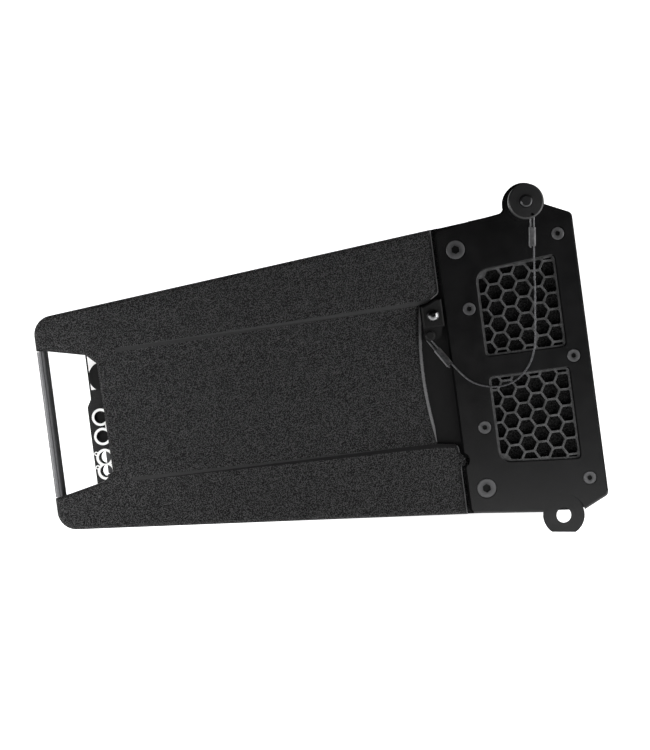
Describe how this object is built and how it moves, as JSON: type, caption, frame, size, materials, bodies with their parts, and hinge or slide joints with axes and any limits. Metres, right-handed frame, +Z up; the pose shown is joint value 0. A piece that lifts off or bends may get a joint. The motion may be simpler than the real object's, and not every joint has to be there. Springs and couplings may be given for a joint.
{
  "type": "line array speaker",
  "caption": "Wedge-sided line array speaker module with grained cabinet, steel rigging side plates, quick-lock pins on wire lanyards, end handle bars and a rear angle bracket.",
  "frame": {"origin": "middle of the bounding box on the ground, with the speaker standing on its lower front lugs and lower rear edge", "axes": "+X towards the front (grille), +Y across the width to the speaker's left, +Z up; the horn axis points 7.8 degrees above +X"},
  "size_m": [0.3948, 0.5204, 0.2398],
  "materials": {
    "black_aluminium": "anodised",
    "black_plastic": "satin",
    "black_steel": "satin powder coat",
    "board": "circuit board",
    "board_parts": "components",
    "button_metal": "anodised",
    "cabinet": "grained moulding",
    "cast_frame": "cast, painted",
    "dark_bolts": "blackened steel",
    "ferrite": "magnet assembly",
    "foam": "open cell foam",
    "grey_plastic": "satin",
    "lamp": "clear",
    "paper_cone": "pressed pulp, modelled as plastic",
    "rubber": "soft",
    "steel": "plated",
    "white_print": "printed",
    "window": "tinted",
    "wire_rope": "stranded, plastic coated",
    "zinc_steel": "zinc plated"
  },
  "bodies": {
    "cabinet": {"amp_chassis": "zinc_steel", "amp_panel": "black_steel", "anchor_blocks": "black_plastic", "anchor_screws": "steel", "board_parts": "board_parts", "bracket_bolts": "dark_bolts", "bracket_markings": "white_print", "cabinet_shell": "cabinet", "circuit_boards": "board", "compression_driver": "cast_frame", "display_window": "window", "driver_bolts": "dark_bolts", "ear_cheeks": "black_steel", "foam_pads": "foam", "front_baffle": "black_plastic", "front_grille": "black_steel", "front_screws": "dark_bolts", "handle_bars": "grey_plastic", "handle_screws": "dark_bolts", "heat_sink": "black_aluminium", "honeycombs": "black_plastic", "inner_plates": "black_steel", "lanyard_cable_left": "wire_rope", "lanyard_cable_right": "wire_rope", "lower_ferrules": "steel", "panel_gaskets": "rubber", "panel_screws": "dark_bolts", "panel_sockets": "black_plastic", "plate_bolts": "dark_bolts", "plate_screws": "dark_bolts", "port_ducts": "black_plastic", "rear_bracket": "black_steel", "side_plates": "black_steel", "status_lamps": "lamp", "suspension_left": "rubber", "suspension_right": "rubber", "vent_foam": "foam", "wave_shaper": "black_plastic", "waveguide": "black_plastic", "woofer_baskets": "cast_frame", "woofer_motors": "ferrite"},
    "front_pin_left": {"front_pin_left": "steel", "pin_knob_left": "black_plastic", "upper_ferrule_left": "steel"},
    "front_pin_right": {"front_pin_right": "steel", "pin_knob_right": "black_plastic", "upper_ferrule_right": "steel"},
    "pin_button_left": {"pin_button_left": "button_metal"},
    "pin_button_right": {"pin_button_right": "button_metal"},
    "link_bar": {"link_bar": "black_steel"},
    "rear_pin": {"rear_pin": "steel", "rear_pin_knob": "black_plastic"},
    "rear_pin_button": {"rear_pin_button": "button_metal"},
    "cone_left": {"woofer_cone_left": "paper_cone"},
    "cone_right": {"woofer_cone_right": "paper_cone"},
    "level_knob": {"level_knob": "black_plastic"},
    "selector_1": {"selector_1": "black_plastic"},
    "selector_2": {"selector_2": "black_plastic"},
    "push_button": {"push_button": "black_plastic"},
    "latch_tab": {"latch_tab": "steel"}
  },
  "joints": [
    {"name": "front_pin_left_pull", "type": "slide", "parent": "cabinet", "child": "front_pin_left", "axis": [0, 1, 0], "range_m": [0, 0.035], "deforming": ["lanyard_cable_left"]},
    {"name": "front_pin_right_pull", "type": "slide", "parent": "cabinet", "child": "front_pin_right", "axis": [0, -1, 0], "range_m": [0, 0.035], "deforming": ["lanyard_cable_right"]},
    {"name": "pin_button_left_press", "type": "slide", "parent": "front_pin_left", "child": "pin_button_left", "axis": [0, -1, 0], "range_m": [0, 0.0024], "stiffness_N_per_m": 1500},
    {"name": "pin_button_right_press", "type": "slide", "parent": "front_pin_right", "child": "pin_button_right", "axis": [0, 1, 0], "range_m": [0, 0.0024], "stiffness_N_per_m": 1500},
    {"name": "link_bar_lift", "type": "slide", "parent": "cabinet", "child": "link_bar", "axis": [-0.1356, 0, 0.9908], "range_m": [0, 0.044]},
    {"name": "rear_pin_pull", "type": "slide", "parent": "cabinet", "child": "rear_pin", "axis": [0, -1, 0], "range_m": [0, 0.04]},
    {"name": "rear_pin_button_press", "type": "slide", "parent": "rear_pin", "child": "rear_pin_button", "axis": [0, 1, 0], "range_m": [0, 0.0024], "stiffness_N_per_m": 1500},
    {"name": "cone_left_stroke", "type": "slide", "parent": "cabinet", "child": "cone_left", "axis": [0.9908, 0, 0.1356], "range_m": [-0.004, 0.004], "stiffness_N_per_m": 3000, "deforming": ["suspension_left"]},
    {"name": "cone_right_stroke", "type": "slide", "parent": "cabinet", "child": "cone_right", "axis": [0.9908, 0, 0.1356], "range_m": [-0.004, 0.004], "stiffness_N_per_m": 3000, "deforming": ["suspension_right"]},
    {"name": "level_knob_turn", "type": "hinge", "parent": "cabinet", "child": "level_knob", "pos_m": [-0.14535, 0.052, 0.11412], "axis": [-0.9908, 0, -0.1356], "continuous": true},
    {"name": "selector_1_turn", "type": "hinge", "parent": "cabinet", "child": "selector_1", "pos_m": [-0.13463, 0.088, 0.03585], "axis": [-0.9908, 0, -0.1356], "range_deg": [-150, 150]},
    {"name": "selector_2_turn", "type": "hinge", "parent": "cabinet", "child": "selector_2", "pos_m": [-0.13463, 0.128, 0.03585], "axis": [-0.9908, 0, -0.1356], "range_deg": [-150, 150]},
    {"name": "push_button_press", "type": "slide", "parent": "cabinet", "child": "push_button", "axis": [0.9908, 0, 0.1356], "range_m": [0, 0.002], "stiffness_N_per_m": 800},
    {"name": "latch_tab_press", "type": "slide", "parent": "cabinet", "child": "latch_tab", "axis": [-0.1356, 0, 0.9908], "range_m": [0, 0.0015], "stiffness_N_per_m": 800}
  ]
}
